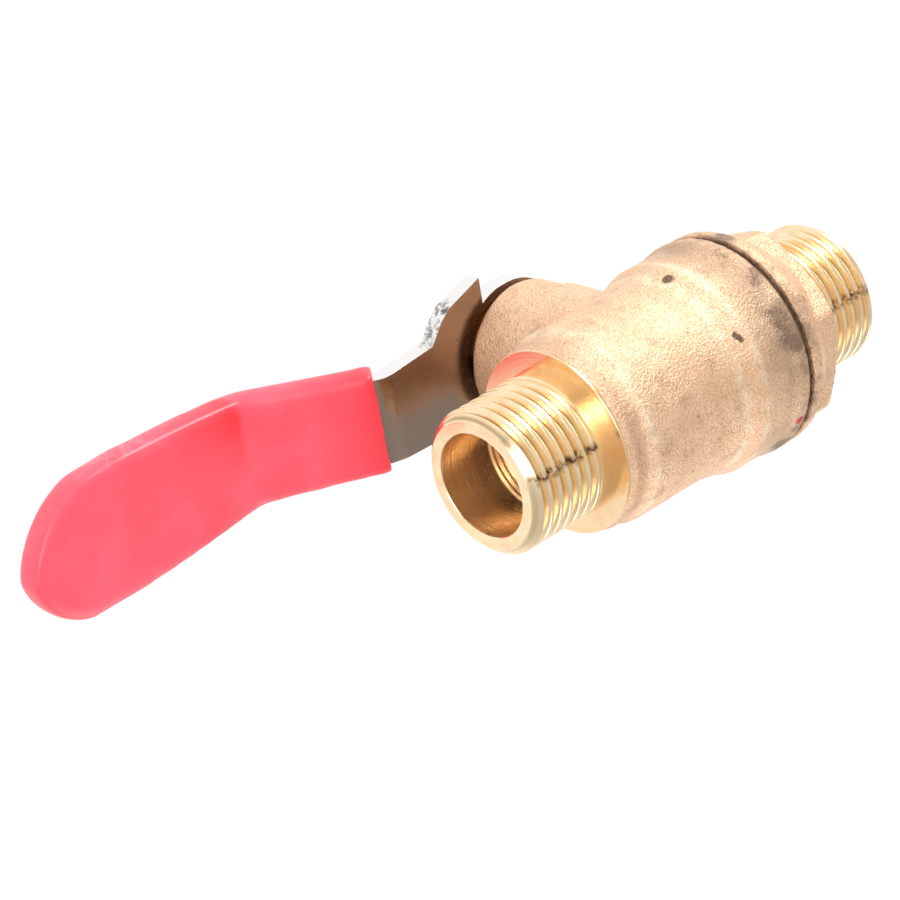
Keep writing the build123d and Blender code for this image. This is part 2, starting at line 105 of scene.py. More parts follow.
# %% [markdown]
# Brass and plated steel show mostly what stands around them. A bright sky with
# dimmer sides gives them both white highlights and brown depths. Lamps alone would
# leave the metal black between them.

# %% World and floor
world = bpy.data.worlds.new("soft studio")
bpy.context.scene.world = world
world.use_nodes = True
sky = world.node_tree
sky.nodes.clear()
bright_side = Vector((-0.25, 0.25, 0.93)).normalized()
direction = add_node(sky, "TexCoord", output="Generated")
towards = add_node(sky, "VectorMath", {0: direction, 1: bright_side}, "Value",
                   operation="DOT_PRODUCT")
dim, bright = 0.55, 1.04
spread = add_node(sky, "MapRange", {0: towards, 1: -0.45, 2: 0.25, 3: dim, 4: bright},
                  interpolation_type="SMOOTHSTEP")
glow = add_node(sky, "Background", {"Color": (1, 1, 1, 1), "Strength": spread})
sky.links.new(glow, sky.nodes.new("ShaderNodeOutputWorld").inputs["Surface"])

floor_depth = -0.43
bpy.ops.mesh.primitive_plane_add(size=8, location=(0, 0, floor_depth))
floor = bpy.context.object
floor.name = "floor"
print("sky from", dim, "to", bright, "and a floor", -floor_depth, "m below the flow axis")


# %% [markdown]
# Four soft square lamps stand round the valve. The key is the smallest and stands
# past the rear end, level with the valve. The side lamp and the low lamp stand on
# either side of the flow, and the large fill stands close to the camera. One hard
# lamp would be simpler, but brass would show it as a single burnt spot.

# %% Lamps
lamp_aim = Vector((0.02, 0, 0))


def soft_lamp(name, place, size, power):
    """A square area lamp turned towards the valve, which the camera doesn't see."""
    data = bpy.data.lights.new(name, "AREA")
    data.shape = "SQUARE"
    data.size = size
    data.energy = power
    lamp = bpy.data.objects.new(name, data)
    lamp.location = place
    lamp.rotation_euler = (lamp_aim - Vector(place)).to_track_quat("-Z", "Y").to_euler()
    lamp.visible_camera = False
    bpy.context.scene.collection.objects.link(lamp)


soft_lamp("key", (-0.35, 0.48, -0.04), 0.16, 1.8)
soft_lamp("side", (0.10, 0.50, -0.22), 0.30, 0.4)
soft_lamp("fill", (0.50, 0.24, -0.40), 0.40, 3.0)
soft_lamp("low", (-0.05, -0.45, -0.15), 0.35, 0.6)

# %% [markdown]
# Every finish on the valve is a ground colour with worn, stained or dirty parts laid
# over it. A few patterns make all of them: a band across the flow, a ragged round
# spot, blotches of one size, and a coat that shows only where its masks let it.

# %% Patterns that the finishes share
def finish(name, **sockets):
    """A material with its shader set, and its node tree and shader to add to."""
    material = bpy.data.materials.new(name)
    material.use_nodes = True
    tree = material.node_tree
    shader = tree.nodes["Principled BSDF"]
    for socket, value in sockets.items():
        shader.inputs[socket.replace("_", " ")].default_value = value
    return material, tree, shader


def place_of(tree):
    """Object coordinates, whole and split into x, y and z."""
    coordinates = add_node(tree, "TexCoord", output="Object")
    return coordinates, add_node(tree, "SeparateXYZ", {0: coordinates}).node.outputs


def distance_from_axis(tree, first, second):
    """Distance from an axis, from the two coordinates across it."""
    squares = [add_node(tree, "Math", {0: across, 1: 2.0}, operation="POWER")
               for across in (first, second)]
    total = add_node(tree, "Math", {0: squares[0], 1: squares[1]}, operation="ADD")
    return add_node(tree, "Math", {0: total}, operation="SQRT")


def band(tree, value, centre, half_width):
    """1 at the centre of a band, falling to 0 at its two sides."""
    offset = add_node(tree, "Math", {0: value, 1: centre * MM}, operation="SUBTRACT")
    away = add_node(tree, "Math", {0: offset}, operation="ABSOLUTE")
    return add_node(tree, "MapRange", {0: away, 1: 0.0, 2: half_width * MM, 3: 1.0, 4: 0.0})


def blotches(tree, coordinates, size_mm, detail, roughness, low, high):
    """Ragged blotches of one size, from noise stretched between two levels."""
    noise = add_node(tree, "TexNoise", {"Vector": coordinates, "Scale": per_mm(size_mm),
                                        "Detail": detail, "Roughness": roughness})
    return add_node(tree, "MapRange", {0: noise, 1: low, 2: high})


def spot(tree, coordinates, centre, size_mm, ragged):
    """1 inside a round mark at a place in millimetres, 0 outside, with a ragged rim."""
    away = add_node(tree, "VectorMath", {0: coordinates, 1: Vector(centre) * MM}, "Value",
                    operation="DISTANCE")
    noise = add_node(tree, "TexNoise", {"Vector": coordinates, "Scale": per_mm(1.6),
                                        "Detail": 4.0, "Roughness": 0.7})
    shift = add_node(tree, "Math", {0: noise, 1: ragged * MM}, operation="MULTIPLY")
    away = add_node(tree, "Math", {0: away, 1: shift}, operation="ADD")
    away = add_node(tree, "Math", {0: away, 1: ragged * 0.5 * MM}, operation="SUBTRACT")
    return add_node(tree, "MapRange", {0: away, 1: 0.6 * size_mm * MM, 2: size_mm * MM,
                                       3: 1.0, 4: 0.0})


def masked(tree, *masks):
    """What all of these masks let through, each an output or a share."""
    amount = masks[0]
    for mask in masks[1:]:
        amount = add_node(tree, "Math", {0: amount, 1: mask}, operation="MULTIPLY")
    return amount


def coat(tree, under, over, *masks):
    """Lays one colour over another, as far as all the masks let it."""
    amount = masked(tree, *masks)
    return add_node(tree, "Mix", {0: amount, 6: under, 7: over}, 2, data_type="RGBA")


def strongest(tree, *masks):
    """The strongest of several masks."""
    most = masks[0]
    for mask in masks[1:]:
        most = add_node(tree, "Math", {0: most, 1: mask}, operation="MAXIMUM")
    return most


print("patterns ready, lengths in mm")

# %% [markdown]
# The body and the end cap are brass cast in sand. The sand leaves a fine grain all
# over, and the tumbled casting is a dull pinkish tan in patches. A painted image
# could be wrapped round it, but noise at the grain's real size has no seam.

# %% Cast brass: the sand skin
grain_mm = 0.32
cast_brass, tree, shader = finish("cast_brass", Metallic=0.8)
coordinates, xyz = place_of(tree)
patches = add_node(tree, "TexNoise", {"Vector": coordinates, "Scale": per_mm(7.0),
                                      "Detail": 4.0, "Roughness": 0.55})
grain = add_node(tree, "TexNoise", {"Vector": coordinates, "Scale": per_mm(grain_mm),
                                    "Detail": 2.0, "Roughness": 0.6})
skin = coat(tree, "FFD7B3", "F0C5A0", add_node(tree, "MapRange", {0: patches, 1: 0.35, 2: 0.65}))
skin = coat(tree, "D9AF89", skin, add_node(tree, "MapRange", {0: grain, 1: 0.32, 2: 0.54}))
print("cast brass grain", grain_mm, "mm")

# %% [markdown]
# The shoulders in front and at the joint are painted pale, partly as tumbling wear
# on what stands proud on the barrel and partly as a painted highlight on their steep
# rings. Oxide greys the thick band, and the neck behind the collar is browner.
# Pointiness would find edges by itself, but it depends on how fine the mesh is.

# %% Cast brass: worn and highlit shoulders, and oxide
breaks = blotches(tree, coordinates, 2.2, 4.0, 0.6, 0.38, 0.60)
worn_and_highlit_shoulders = [band(tree, xyz[0], centre, half) for centre, half in ((14.9, 1.3), (-2.2, 1.4), (-5.6, 1.1))]
from_axis = distance_from_axis(tree, xyz[1], xyz[2])
barrel = add_node(tree, "MapRange", {0: from_axis, 1: 16.4 * MM, 2: 16.9 * MM, 3: 1.0, 4: 0.0})
# Pale coat on the shoulders: tumbling wear and a painted highlight on the steep rings.
skin = coat(tree, skin, "FFEACB", strongest(tree, *worn_and_highlit_shoulders), barrel, masked(tree, breaks, 0.75))

uneven = add_node(tree, "MapRange", {0: patches, 1: 0.30, 2: 0.60, 3: 0.4, 4: 1.0})
skin = coat(tree, skin, "B5997F", band(tree, xyz[0], -10.5, 5.0), uneven, barrel, 0.9)
skin = coat(tree, skin, "CBA284", band(tree, xyz[0], 17.6, 1.8), 0.6)
print(len(worn_and_highlit_shoulders), "worn shoulders")

# %% [markdown]
# Cutting oil and soot stay in the joint and in the pits. Even dirt would look like
# paint, so it is drawn as single ragged smears, each with its own place and size.

# %% Cast brass: pits and soot
pit_places = (((-3.2, 15.1, -2.0), 1.0), ((-3.9, 8.7, -12.8), 0.50),
              ((-4.1, 8.3, -13.1), 0.60), ((-4.3, 7.9, -13.3), 0.50))
smear_places = (((-13.0, 8.2, -14.1), 2.2), ((-13.2, 5.6, -15.3), 2.2), ((-13.6, 1.3, -16.2), 1.5),
                ((-16.5, 8.7, -13.4), 1.6), ((-13.6, -8.5, -13.9), 1.5), ((-12.4, -11.9, -10.7), 1.6),
                ((-13.2, 13.2, -9.6), 1.6), ((-13.0, 15.8, -3.8), 1.4), ((-15.0, 15.9, -1.3), 1.8))
red_speck = (-12.6, -7.6, -14.3)

cells = add_node(tree, "TexVoronoi", {"Vector": coordinates, "Scale": per_mm(5.5)}, "Distance")
cells = add_node(tree, "Math", {0: cells, 1: masked(tree, breaks, 0.05)}, operation="ADD")
pits = add_node(tree, "MapRange", {0: cells, 1: 0.03, 2: 0.09, 3: 0.55, 4: 0.0})
pits = strongest(tree, pits, *[spot(tree, coordinates, place, size, 0.9) for place, size in pit_places])

oxide = blotches(tree, coordinates, 3.4, 5.0, 0.65, 0.56, 0.72)
joint_soot = masked(tree, band(tree, xyz[0], -14.4, 3.6),
                    blotches(tree, coordinates, 2.6, 5.0, 0.7, 0.42, 0.66), barrel)
thin = add_node(tree, "MapRange", {0: patches, 1: 0.30, 2: 0.52})
smears = [masked(tree, spot(tree, coordinates, place, 1.5 * size, 3.4), thin, 0.9)
          for place, size in smear_places]
soot = strongest(tree, masked(tree, oxide, 0.4), joint_soot, *smears)

skin = coat(tree, skin, "6A5648", soot, 0.80)
skin = coat(tree, skin, "4A382E", pits, 0.85)
skin = coat(tree, skin, "C8303C", spot(tree, coordinates, red_speck, 0.8, 0.5))
tree.links.new(skin, shader.inputs["Base Color"])
dull = add_node(tree, "MapRange", {0: grain, 1: 0.3, 2: 0.7, 3: 0.52, 4: 0.36})
tree.links.new(dull, shader.inputs["Roughness"])
height = add_node(tree, "Math", {0: grain, 1: masked(tree, pits, 0.9)}, operation="SUBTRACT")
tree.links.new(add_node(tree, "Bump", {"Height": height, "Distance": 0.24 * MM}), shader.inputs["Normal"])
print(len(pit_places), "large pits and", len(smear_places), "smears of soot")

# %% [markdown]
# The threads, faces and bores are turned on a lathe. The tool leaves rings so fine
# that they only show as streaks in the shine. Their distance along the surface is
# x plus the radius, which grows on a flat face as well as on a cylinder. The stem
# is turned too, about z.

# %% Turned metal
def turned_metal(name, tints, axis, roughness, ring_mm, ring_depth_mm):
    """Metal with uneven rings round the x or z axis, as the lathe tool leaves them."""
    material, tree, shader = finish(name, Metallic=1.0)
    coordinates, xyz = place_of(tree)
    along = "xyz".index(axis)
    radius = distance_from_axis(tree, *[xyz[index] for index in range(3) if index != along])
    travel = add_node(tree, "Math", {0: radius, 1: xyz[along]}, operation="ADD")
    rings = add_node(tree, "TexNoise", {"W": travel, "Scale": per_mm(ring_mm), "Detail": 2.0},
                     noise_dimensions="1D")
    stains = add_node(tree, "TexNoise", {"Vector": coordinates, "Scale": per_mm(2.5),
                                         "Detail": 4.0, "Roughness": 0.6})
    skin = coat(tree, tints[0], tints[1], add_node(tree, "MapRange", {0: stains, 1: 0.4, 2: 0.75}))
    streaks = add_node(tree, "MapRange", {0: rings, 1: 0.35, 2: 0.6})
    skin = coat(tree, skin, tints[2], streaks, 0.35)
    tree.links.new(skin, shader.inputs["Base Color"])
    dull = add_node(tree, "MapRange", {0: stains, 1: 0.35, 2: 0.75, 3: roughness[0], 4: roughness[1]})
    tree.links.new(dull, shader.inputs["Roughness"])
    relief = add_node(tree, "Bump", {"Height": rings, "Distance": ring_depth_mm * MM})
    tree.links.new(relief, shader.inputs["Normal"])
    return material, tree, shader, skin


bored_brass = turned_metal("bored_brass", ("FFE2B8", "F6C08C", "FFF0D4"), "x", (0.26, 0.40), 0.40, 0.050)[0]
stem_brass = turned_metal("stem_brass", ("F5CF86", "E2B068", "FFE3A8"), "z", (0.18, 0.34), 0.30, 0.006)[0]
print("bored and stem brass")

# %% [markdown]
# The thread grooves are painted brown as shade, darkest on the +y side. A dark
# broken line runs along the crests on the underside. The grooves are found by
# distance from the axis, which needs no painting by hand.

# %% Turned brass with painted shade in the threads
turned_brass, tree, shader, skin = turned_metal("turned_brass", ("FFE4B8", "F8CE9C", "FFEFD0"), "x",
                                                (0.17, 0.30), 0.30, 0.006)
coordinates, xyz = place_of(tree)
radius = distance_from_axis(tree, xyz[1], xyz[2])
reach = add_node(tree, "Math", {0: xyz[0]}, operation="ABSOLUTE")
begins = add_node(tree, "MapRange", {0: reach, 1: 21.4 * MM, 2: 21.8 * MM})
ends = add_node(tree, "MapRange", {0: reach, 1: 33.6 * MM, 2: 33.9 * MM, 3: 1.0, 4: 0.0})
on_thread = masked(tree, begins, ends)
in_groove = add_node(tree, "MapRange", {0: radius, 1: 9.45 * MM, 2: 9.95 * MM, 3: 1.0, 4: 0.0})
plus_y_shade = add_node(tree, "MapRange", {0: xyz[1], 1: 5.5 * MM, 2: 9.0 * MM, 3: 0.35, 4: 1.0})
# Painted shade: the thread grooves go brown, darkest on the +y side.
skin = coat(tree, skin, "94683E", on_thread, in_groove, plus_y_shade)
collar_tint = add_node(tree, "MapRange", {0: reach, 1: 20.4 * MM, 2: 21.2 * MM, 3: 0.25, 4: 0.0})
skin = coat(tree, skin, "F0B880", collar_tint)
line_breaks = blotches(tree, coordinates, 1.1, 3.0, 0.6, 0.42, 0.56)
below = add_node(tree, "MapRange", {0: xyz[2], 1: -8.0 * MM, 2: -9.0 * MM})
# A dark broken line is painted along the crests on the underside of the thread.
skin = coat(tree, skin, "6A4C3C", band(tree, xyz[1], 2.6, 0.95), below, on_thread, line_breaks)
tree.links.new(skin, shader.inputs["Base Color"])
print("turned brass")

# %% [markdown]
# The lever, washer and nut are steel with a thin bright plating. Plating follows
# the rolled sheet under it, so its shine has faint waves and fine scratches. The
# underside is painted brown as shade and as a painted reflection of the brass body.
# The edges facing +y, towards the key lamp, are bare sheared steel with a painted
# highlight, and a grey torn patch beside the hub.

# %% Plated steel
torn_place = (13.0, 8.6, 28.2)
plated_steel, tree, shader = finish("plated_steel", Metallic=1.0)
coordinates = add_node(tree, "TexCoord", output="Object")
waves = add_node(tree, "TexNoise", {"Vector": coordinates, "Scale": per_mm(9.0),
                                    "Detail": 2.0, "Roughness": 0.55})
stretched = add_node(tree, "Mapping", {"Vector": coordinates, "Scale": (0.12, 1.0, 1.0)})
scratches = add_node(tree, "TexNoise", {"Vector": stretched, "Scale": per_mm(0.35),
                                        "Detail": 3.0, "Roughness": 0.55})
skin = coat(tree, "DEDAD6", "BDB2A6", blotches(tree, coordinates, 5.0, 5.0, 0.6, 0.45, 0.75))
normal = add_node(tree, "TexCoord", output="Normal")
facing = add_node(tree, "SeparateXYZ", {0: normal}).node.outputs
# Painted shade and painted brass reflection on the faces that look down.
skin = coat(tree, skin, "988577", add_node(tree, "MapRange", {0: facing[2], 1: -0.20, 2: -0.60}))
# Painted highlight: faces towards +y, where the key lamp stands, go near white over the bare sheared steel.
highlit_edges = add_node(tree, "MapRange", {0: facing[1], 1: 0.45, 2: 0.75})
skin = coat(tree, skin, "F4F2F0", highlit_edges)
skin = coat(tree, skin, "77716D", blotches(tree, coordinates, 1.0, 4.0, 0.7, 0.46, 0.60), highlit_edges,
            spot(tree, coordinates, torn_place, 4.5, 1.0))
tree.links.new(skin, shader.inputs["Base Color"])
dull = add_node(tree, "MapRange", {0: scratches, 1: 0.35, 2: 0.75, 3: 0.20, 4: 0.30})
tree.links.new(dull, shader.inputs["Roughness"])
scratched = add_node(tree, "Bump", {"Height": scratches, "Distance": 0.0012 * MM})
wavy = add_node(tree, "Bump", {"Height": waves, "Distance": 0.12 * MM, "Normal": scratched})
tree.links.new(wavy, shader.inputs["Normal"])
print("plated steel")

# %% [markdown]
# The grip is plastisol, a soft vinyl that the heated lever is dipped in. It cures
# with a smooth satin skin. Deeper red is painted near the open end and past the bend
# on the +y side as painted shade. Pale blotches along the +y edge are scuffs from
# handling and a painted highlight. Light entering the skin could be traced too, but
# here the colours alone give nearly the same soft look.

# %% Dipped vinyl
red_vinyl, tree, shader = finish("red_vinyl", Roughness=0.36, Coat_Weight=0.12, Coat_Roughness=0.30)
coordinates, xyz = place_of(tree)
skin = coat(tree, "FA5062", "FE5E71", blotches(tree, coordinates, 8.0, 3.0, 0.55, 0.35, 0.65))
bend = add_node(tree, "MapRange", {0: xyz[0], 1: 41.6 * MM, 2: 42.6 * MM})
fades = add_node(tree, "MapRange", {0: xyz[0], 1: 43.5 * MM, 2: 54.0 * MM, 3: 1.0, 4: 0.0})
one_side = add_node(tree, "MapRange", {0: xyz[1], 1: -5.0 * MM, 2: 4.0 * MM})
near_lip = add_node(tree, "MapRange", {0: xyz[0], 1: 27.0 * MM, 2: 34.0 * MM, 3: 0.9, 4: 0.0})
shaded_red = strongest(tree, near_lip, masked(tree, bend, fades, one_side))
# Painted shade: deeper red near the open end and past the bend on the +y side.
skin = coat(tree, skin, "F62534", shaded_red, 0.8)
# Pale scuffs and a painted highlight along the +y edge, which faces the key lamp.
scuffed_and_highlit_edge = add_node(tree, "MapRange", {0: xyz[1], 1: 7.2 * MM, 2: 8.6 * MM})
held_part = add_node(tree, "MapRange", {0: xyz[0], 1: 48.0 * MM, 2: 60.0 * MM})
skin = coat(tree, skin, "FFC4C8", scuffed_and_highlit_edge, blotches(tree, coordinates, 1.8, 5.0, 0.7, 0.50, 0.62),
            held_part, 0.45)
tree.links.new(skin, shader.inputs["Base Color"])
dimples = add_node(tree, "TexNoise", {"Vector": coordinates, "Scale": per_mm(1.2),
                                      "Detail": 2.0, "Roughness": 0.55})
tree.links.new(add_node(tree, "Bump", {"Height": dimples, "Distance": 0.01 * MM}), shader.inputs["Normal"])
print("dipped vinyl")

# %% [markdown]
# The pieces inside are seats and packing of white PTFE, rubber and fibre. They show
# only through the ports or in a cut, but each still gets its own surface.

# %% Inner materials
def plain_material(name, first, second, size_mm, roughness, metallic=0.0):
    """A material with a slight change of tint and a fine surface."""
    material, tree, shader = finish(name, Metallic=metallic)
    coordinates = add_node(tree, "TexCoord", output="Object")
    texture = add_node(tree, "TexNoise", {"Vector": coordinates, "Scale": per_mm(size_mm),
                                          "Detail": 3.0, "Roughness": 0.55})
    skin = coat(tree, first, second, add_node(tree, "MapRange", {0: texture, 1: 0.35, 2: 0.65}))
    tree.links.new(skin, shader.inputs["Base Color"])
    dull = add_node(tree, "MapRange", {0: texture, 1: 0.3, 2: 0.7, 3: roughness[0], 4: roughness[1]})
    tree.links.new(dull, shader.inputs["Roughness"])
    relief = add_node(tree, "Bump", {"Height": texture, "Distance": 0.01 * MM})
    tree.links.new(relief, shader.inputs["Normal"])
    print(name)
    return material


white_ptfe = plain_material("white_ptfe", "F2F1EC", "E6E4DC", 1.5, (0.40, 0.55))
black_rubber = plain_material("black_rubber", "1A1A1A", "262524", 0.8, (0.55, 0.75))
fibre_gasket = plain_material("fibre_gasket", "33281F", "6E5846", 1.6, (0.7, 0.9))
plated_ball = plain_material("plated_ball", "DDDDE0", "CFCFD4", 6.0, (0.06, 0.12), 1.0)

node_materials = {
    "valve_body": cast_brass, "end_cap": cast_brass, "body_gasket": fibre_gasket,
    "ball": plated_ball, "seat_front": white_ptfe, "seat_rear": white_ptfe,
    "stem": stem_brass, "thrust_washer": white_ptfe, "stem_o_ring": black_rubber,
    "packing_lower": white_ptfe, "packing_upper": white_ptfe, "packing_follower": stem_brass,
    "gland_nut": stem_brass, "lever": plated_steel, "lever_sleeve": red_vinyl,
    "lock_washer": plated_steel, "lever_nut": plated_steel,
}
for name, material in node_materials.items():
    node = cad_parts[name]
    node.data.materials.clear()
    node.data.materials.append(material)
floor_paint = plain_material("floor_paint", "C9C9C9", "C4C4C4", 40.0, (0.7, 0.9))
floor.data.materials.append(floor_paint)
print(len(node_materials), "nodes painted")

# %% [markdown]
# A new primitive is selected all over and an operator acts on all that is selected,
# so each step starts from nothing selected. Small helpers do the bookkeeping: they
# select a piece, apply a modifier, join or cut solids, copy a CAD node and finish a
# piece. Typing the same calls for each piece would work too, but hides the shapes.

# %% Modelling helpers
def pick(*pieces):
    """Selects these objects alone, and makes the first one active."""
    bpy.ops.object.select_all(action="DESELECT")
    for piece in pieces:
        piece.select_set(True)
    bpy.context.view_layer.objects.active = pieces[0]
    return pieces[0]


def modify(piece, kind, **settings):
    """Adds a modifier and applies it."""
    modifier = piece.modifiers.new(kind.lower(), kind)
    for name, value in settings.items():
        setattr(modifier, name, value)
    pick(piece)
    bpy.ops.object.modifier_apply(modifier=modifier.name)
    return piece


def combine(piece, other, action):
    """Unites, cuts or intersects two closed solids, and removes the second."""
    modify(piece, "BOOLEAN", operation=action, solver="MANIFOLD", object=other)
    bpy.data.objects.remove(other)
    return piece


def copy_of(node_name, name):
    """A copy of a CAD node with its loose triangles merged into one surface."""
    piece = bpy.data.objects.new(name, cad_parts[node_name].data.copy())
    bpy.context.scene.collection.objects.link(piece)
    pick(piece)
    bpy.ops.object.mode_set(mode="EDIT")
    bpy.ops.mesh.select_all(action="SELECT")
    bpy.ops.mesh.remove_doubles(threshold=0.001 * MM)
    bpy.ops.object.mode_set(mode="OBJECT")
    return piece


def triangles(piece):
    """How many triangles the piece's faces make."""
    return sum(len(face.vertices) - 2 for face in piece.data.polygons)


def finish_piece(piece, body, material, angle, stands_for):
    """Smooths the shading, paints the piece and hands it to its CAD body."""
    pick(piece)
    bpy.ops.object.shade_smooth_by_angle(angle=math.radians(angle))
    piece.data.materials.clear()
    piece.data.materials.append(material)
    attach(piece, body)
    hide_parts(*stands_for)
    print(piece.name, triangles(piece), "triangles")


print("modelling helpers ready, Blender", bpy.app.version_string)

# %% [markdown]
# A turned shape is one half outline spun round the flow axis. The outline is drawn
# by extruding a single point from corner to corner, as a lathe tool would travel.

# %% Draw and spin an outline
def draw_outline(name, points):
    """A chain of edges through (x, radius) points given in millimetres."""
    bpy.ops.object.select_all(action="DESELECT")
    bpy.ops.mesh.primitive_plane_add(size=MM, location=(0, 0, 0))
    piece = bpy.context.object
    piece.name = name
    bpy.ops.object.mode_set(mode="EDIT")
    bpy.ops.mesh.select_all(action="SELECT")
    bpy.ops.mesh.merge(type="CENTER")
    here = Vector((0, 0, 0))
    for index, (x, radius) in enumerate(points):
        there = Vector((x, radius, 0)) * MM
        if index == 0:
            bpy.ops.transform.translate(value=there - here)
        else:
            bpy.ops.mesh.extrude_region_move(TRANSFORM_OT_translate={"value": there - here})
        here = there
    bpy.ops.object.mode_set(mode="OBJECT")
    return piece


def turned_solid(name, points, steps=128):
    """A closed solid of revolution about the x axis."""
    piece = draw_outline(name, points)
    bpy.ops.object.mode_set(mode="EDIT")
    bpy.ops.mesh.select_all(action="SELECT")
    bpy.ops.mesh.spin(steps=steps, angle=math.tau, center=(0, 0, 0), axis=(1, 0, 0))
    bpy.ops.mesh.select_all(action="SELECT")
    bpy.ops.mesh.remove_doubles(threshold=0.001 * MM)
    bpy.ops.mesh.normals_make_consistent(inside=False)
    bpy.ops.object.mode_set(mode="OBJECT")
    return piece


print("outlines are spun about x")

# %% [markdown]
# A pipe thread is one tooth that winds round the axis. Rings would be simpler, but
# they never run out at the end face as a real thread does. The Screw modifier winds
# the tooth, and two planes cut the coil square at both ends.

# %% Helical thread
pipe_pitch = 1.814
pipe_major = 10.4775
pipe_depth = 1.0


def thread_tooth(pitch, major, depth, start):
    """One pitch of thread outline: half a rounded crest, a groove, half a crest."""
    half = pitch / 2
    side = [(half, 0), (half * 0.80, 0.012), (half * 0.67, 0.08), (half * 0.60, 0.19),
            (half * 0.26, 0.81), (half * 0.20, 0.92), (half * 0.11, 0.988)]
    left = [(-x, share) for x, share in side]
    right = [(x, share) for x, share in reversed(side)]
    return [(start + x, major - depth * share) for x, share in left + [(0, 1.0)] + right]


def threaded_rod(name, pitch, major, depth, start, end, steps=96):
    """A right-hand threaded rod from start to end, closed at both ends."""
    turns = math.ceil((end - start) / pitch) + 3
    rod = draw_outline(name, thread_tooth(pitch, major, depth, start - 1.5 * pitch))
    modify(rod, "SCREW", axis="X", angle=math.tau, screw_offset=pitch * MM, iterations=turns,
           steps=steps, render_steps=steps, use_smooth_shade=False)
    pick(rod)
    bpy.ops.object.mode_set(mode="EDIT")
    bpy.ops.mesh.select_all(action="SELECT")
    bpy.ops.mesh.remove_doubles(threshold=0.002 * MM)
    for place, clear in ((start, {"clear_inner": True}), (end, {"clear_outer": True})):
        bpy.ops.mesh.select_all(action="SELECT")
        bpy.ops.mesh.bisect(plane_co=(place * MM, 0, 0), plane_no=(1, 0, 0), use_fill=True,
                            threshold=0.0001 * MM, **clear)
    bpy.ops.mesh.select_all(action="SELECT")
    bpy.ops.mesh.normals_make_consistent(inside=False)
    bpy.ops.object.mode_set(mode="OBJECT")
    return rod


print("pipe thread", pipe_pitch, "mm pitch,", 2 * pipe_major, "mm over its crests")

# %% [markdown]
# Each pipe end is bar work: a chamfered thread, a faced collar, and a mouth bored
# with a tool that left a few steps before the narrow waterway. The rear end is also
# made along +x and then turned half round: a mirror would make a left-hand thread.

# %% Turned pipe ends
front_tip = 34.0
rear_tip = 35.0
waterway = 6.25
mouth = 7.5
mouth_depth = 9.0
mouth_steps = 4
step_length = 0.8
first_step = 3.2
tool_mark = 0.12
mouth_flare = 0.30
end_chamfer = 1.25
chamfer_run = 3.25
core = 7.2
core_start = 9.4
shank_root = pipe_major - 0.9


def pipe_end(name, tip, shank, collar):
    """A threaded end along +x. collar is a list of outline points behind the thread."""
    end = threaded_rod(name, pipe_pitch, pipe_major, pipe_depth, shank, tip)
    blank = [(shank - 1, 0), (shank - 1, pipe_major + 2), (tip - chamfer_run, pipe_major + 2),
             (tip, pipe_major - end_chamfer), (tip, 0)]
    combine(end, turned_solid("limit", blank), "INTERSECT")
    core_outline = [(core_start, 0), (core_start, core)] + collar + [(shank + 0.01, 0)]
    combine(end, turned_solid("collar", core_outline), "UNION")
    bottom = tip - mouth_depth
    bore = [(core_start - 1, 0), (core_start - 1, waterway), (bottom - first_step, waterway)]
    for index in range(mouth_steps):
        radius = waterway + (index + 1) * (mouth - waterway) / (mouth_steps + 1)
        low = bottom - first_step + step_length * index
        bore += [(low + 0.05, radius + tool_mark), (low + 0.50, radius + tool_mark), (low + 0.74, radius)]
    bore += [(bottom + 0.05, mouth), (tip - 0.10, mouth), (tip + 0.2, mouth + mouth_flare),
             (tip + 1, mouth + mouth_flare), (tip + 1, 0)]
    combine(end, turned_solid("bore", bore), "DIFFERENCE")
    return end


front_face = 19.7
front_collar = [(19.35, core), (19.35, 13.3), (19.66, 13.3), (front_face, 13.26), (front_face, pipe_major)]
front_collar += [(front_face + 1.9, pipe_major), (front_face + 2.4, shank_root)]
front_end = pipe_end("front_pipe_end", front_tip, front_face + 1.2, front_collar)
rear_face = 22.4
rear_collar = [(rear_face, core), (rear_face, 10.0), (22.8, pipe_major), (23.6, pipe_major)]
rear_collar += [(24.2, shank_root)]
rear_end = pipe_end("rear_pipe_end", rear_tip, 23.2, rear_collar)
pick(rear_end)
bpy.ops.transform.rotate(value=math.pi, orient_axis="Z", center_override=(0, 0, 0))
bpy.ops.object.transform_apply(location=False, rotation=True, scale=False)
finish_piece(front_end, "casing", turned_brass, 25, ["valve_body"])
finish_piece(rear_end, "casing", turned_brass, 25, ["end_cap"])
for end in (front_end, rear_end):
    end.data.materials.append(bored_brass)
    for face in end.data.polygons:
        corners = [end.data.vertices[index].co for index in face.vertices]
        radius = max(math.hypot(corner.y, corner.z) for corner in corners)
        face.material_index = 1 if radius < (mouth + 0.01) * MM else 0

# %% [markdown]
# The rest of both castings keeps the CAD shape, less the turned end. A voxel remesh
# melts its sharp edges into the soft ones of a sand mould, and cloud textures then
# sink the skin by up to a fifth of a millimetre, so that no surface is quite true.

# %% Sand cast body and end cap
unevenness = 0.16


def sand_cast(node_name, name, cut):
    """A casting from a CAD node, without what cut takes away."""
    piece = copy_of(node_name, name)
    combine(piece, cut, "DIFFERENCE")
    voxel = 0.325
    modify(piece, "REMESH", mode="VOXEL", voxel_size=voxel * MM)
    modify(piece, "SMOOTH", factor=0.5, iterations=1)
    for size, share in ((5.0, 0.8), (1.3, 0.5)):
        cloud = bpy.data.textures.new("sand", "CLOUDS")
        cloud.noise_scale = size * MM
        modify(piece, "DISPLACE", texture=cloud, texture_coords="LOCAL", mid_level=1.0,
               strength=unevenness * share * MM)
    return piece


